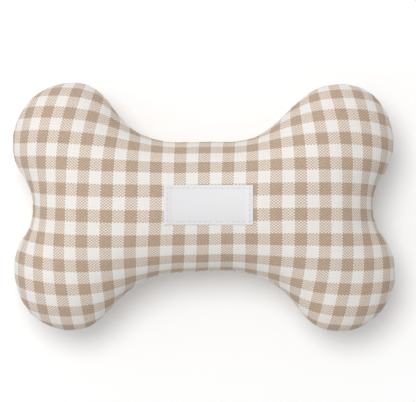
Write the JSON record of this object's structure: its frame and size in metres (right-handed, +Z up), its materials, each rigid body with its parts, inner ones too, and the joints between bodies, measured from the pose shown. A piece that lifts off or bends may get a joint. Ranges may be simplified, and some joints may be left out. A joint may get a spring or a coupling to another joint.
{
  "type": "squeaky dog toy",
  "caption": "Bone-shaped stuffed dog toy in checked cotton, with a sewn-on blank label and a squeaker bulb and reed inside that sound when it is pressed.",
  "frame": {"origin": "under the middle of the toy, on the surface that it rests on", "axes": "+X along the bone, +Y across it, +Z up through the panel that carries the label"},
  "size_m": [0.2008, 0.13, 0.0644],
  "materials": {
    "cover_cotton": "matte",
    "seam_thread": "matte",
    "label_satin": "satin",
    "label_thread": "satin",
    "fibre_fill": "matte",
    "squeaker_soft": "satin",
    "reed_plastic": "satin",
    "reed_brass": "polished"
  },
  "bodies": {
    "back": {"back_panel": "cover_cotton", "knob_fill_right_far": "fibre_fill", "knob_fill_left_far": "fibre_fill", "knob_fill_left_near": "fibre_fill", "knob_fill_right_near": "fibre_fill", "end_fill_right": "fibre_fill", "end_fill_left": "fibre_fill", "shank_fill_back": "fibre_fill"},
    "front": {"front_panel": "cover_cotton", "label": "label_satin", "label_thread": "label_thread", "shank_fill_front": "fibre_fill"},
    "squeaker": {"needle_thread": "seam_thread", "bobbin_thread": "seam_thread", "closing_thread": "seam_thread", "squeaker_bulb": "squeaker_soft", "reed_ferrule": "reed_plastic", "reed_bed": "reed_plastic", "reed_wedge": "reed_plastic"},
    "reed": {"reed_tongue": "reed_brass"}
  },
  "joints": [
    {"name": "squeeze", "type": "slide", "parent": "back", "child": "front", "axis": [0, 0, -1], "range_m": [0, 0.014], "stiffness_N_per_m": 2000, "deforming": ["front_panel", "back_panel", "knob_fill_right_far", "knob_fill_left_far", "knob_fill_left_near", "knob_fill_right_near", "end_fill_right", "end_fill_left", "shank_fill_front", "shank_fill_back", "squeaker_bulb"]},
    {"name": "squeaker_sink", "type": "slide", "parent": "back", "child": "squeaker", "axis": [0, 0, -1], "range_m": [0, 0.007]},
    {"name": "reed_flutter", "type": "hinge", "parent": "squeaker", "child": "reed", "pos_m": [0.0198, 0, 0.03123], "axis": [0, -1, 0], "range_deg": [0, 5], "stiffness_Nm_per_rad": 0.005}
  ],
  "couplings": [
    {"joint": "squeaker_sink", "follows": "squeeze", "ratio": 0.5}
  ]
}
